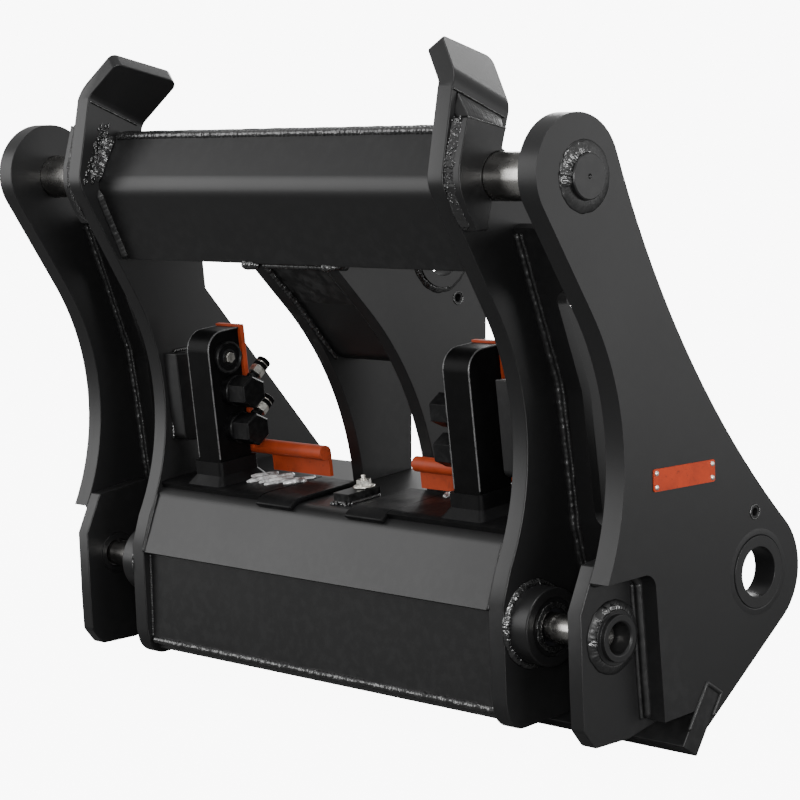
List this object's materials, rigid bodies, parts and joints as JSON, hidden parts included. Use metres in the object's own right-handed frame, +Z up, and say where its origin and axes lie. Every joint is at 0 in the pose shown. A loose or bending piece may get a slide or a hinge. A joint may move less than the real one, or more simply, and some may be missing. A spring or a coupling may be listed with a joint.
{
  "type": "hydraulic quick coupler",
  "caption": "Wheel loader quick coupler: plate frame with fixed hook pins, hydraulic lock pins in a lower beam, hose coupling towers with hinged lids, lift arm and tilt link bores",
  "frame": {"origin": "on the floor plane, under the middle of the overall width and depth; the lowest edge of the stop bar touches the floor plane", "axes": "+X across the machine, +Y rearward to the loader, +Z up, with the attachment on the -Y side"},
  "size_m": [1.454, 0.671, 1.1866],
  "materials": {
    "frame_paint": "semi-gloss dark grey",
    "pin_steel": "turned",
    "bush_steel": "turned",
    "tower_black": "satin black",
    "fitting_black": "black oxide",
    "zinc": "zinc plated",
    "lid_orange": "satin orange",
    "mat_rubber": "moulded",
    "seal_rubber": "moulded",
    "cylinder_paint": "satin"
  },
  "bodies": {
    "frame": {"outer_plate_right": "frame_paint", "outer_plate_left": "frame_paint", "lug_plate_right": "frame_paint", "lug_plate_left": "frame_paint", "inner_plate_right": "frame_paint", "inner_plate_left": "frame_paint", "wear_pad_right": "frame_paint", "wear_pad_left": "frame_paint", "lock_boss_right": "frame_paint", "lock_boss_left": "frame_paint", "back_web_right": "frame_paint", "back_web_left": "frame_paint", "tilt_plate_right": "frame_paint", "tilt_plate_left": "frame_paint", "stop_bar": "frame_paint", "crossbeam_front": "frame_paint", "crossbeam_rear": "frame_paint", "tilt_web": "frame_paint", "beam_cover": "frame_paint", "beam_front_plate": "frame_paint", "beam_bottom_plate": "frame_paint", "beam_rear_plate": "frame_paint", "cylinder_saddles": "frame_paint", "guard_bars": "frame_paint", "hinge_ears": "frame_paint", "hook_pin_right": "pin_steel", "hook_pin_left": "pin_steel", "hinge_pins": "pin_steel", "lug_bush_right": "bush_steel", "lug_bush_left": "bush_steel", "guide_bush_right": "bush_steel", "guide_bush_left": "bush_steel", "tilt_bush_right": "bush_steel", "tilt_bush_left": "bush_steel", "lift_bushes_outer": "bush_steel", "lift_bushes_inner": "bush_steel", "coupling_tower_right": "tower_black", "coupling_tower_left": "tower_black", "tower_caps": "fitting_black", "port_adapters": "fitting_black", "keeper_plate": "fitting_black", "cap_bolts": "zinc", "port_nipples": "zinc", "keeper_bolt": "zinc", "tower_boot_right": "mat_rubber", "tower_boot_left": "mat_rubber", "beam_mats": "mat_rubber", "wiper_seals": "seal_rubber", "lock_cylinder_barrel": "cylinder_paint", "lock_glands": "cylinder_paint"},
    "lock_right": {"lock_pin_right": "pin_steel", "lock_piston_right": "pin_steel"},
    "lock_left": {"lock_pin_left": "pin_steel", "lock_piston_left": "pin_steel"},
    "lid_right": {"tower_lid_right": "lid_orange"},
    "lid_left": {"tower_lid_left": "lid_orange"}
  },
  "joints": [
    {"name": "lock_slide_right", "type": "slide", "parent": "frame", "child": "lock_right", "axis": [-1, 0, 0], "range_m": [0, 0.116]},
    {"name": "lock_slide_left", "type": "slide", "parent": "frame", "child": "lock_left", "axis": [1, 0, 0], "range_m": [0, 0.116]},
    {"name": "lid_hinge_right", "type": "hinge", "parent": "frame", "child": "lid_right", "pos_m": [0.25, -0.02248, 0.44795], "axis": [-1, 0, 0], "range_deg": [0, 70]},
    {"name": "lid_hinge_left", "type": "hinge", "parent": "frame", "child": "lid_left", "pos_m": [-0.25, -0.02248, 0.44795], "axis": [-1, 0, 0], "range_deg": [0, 70]}
  ],
  "couplings": [
    {"joint": "lock_slide_left", "follows": "lock_slide_right", "ratio": 1}
  ]
}
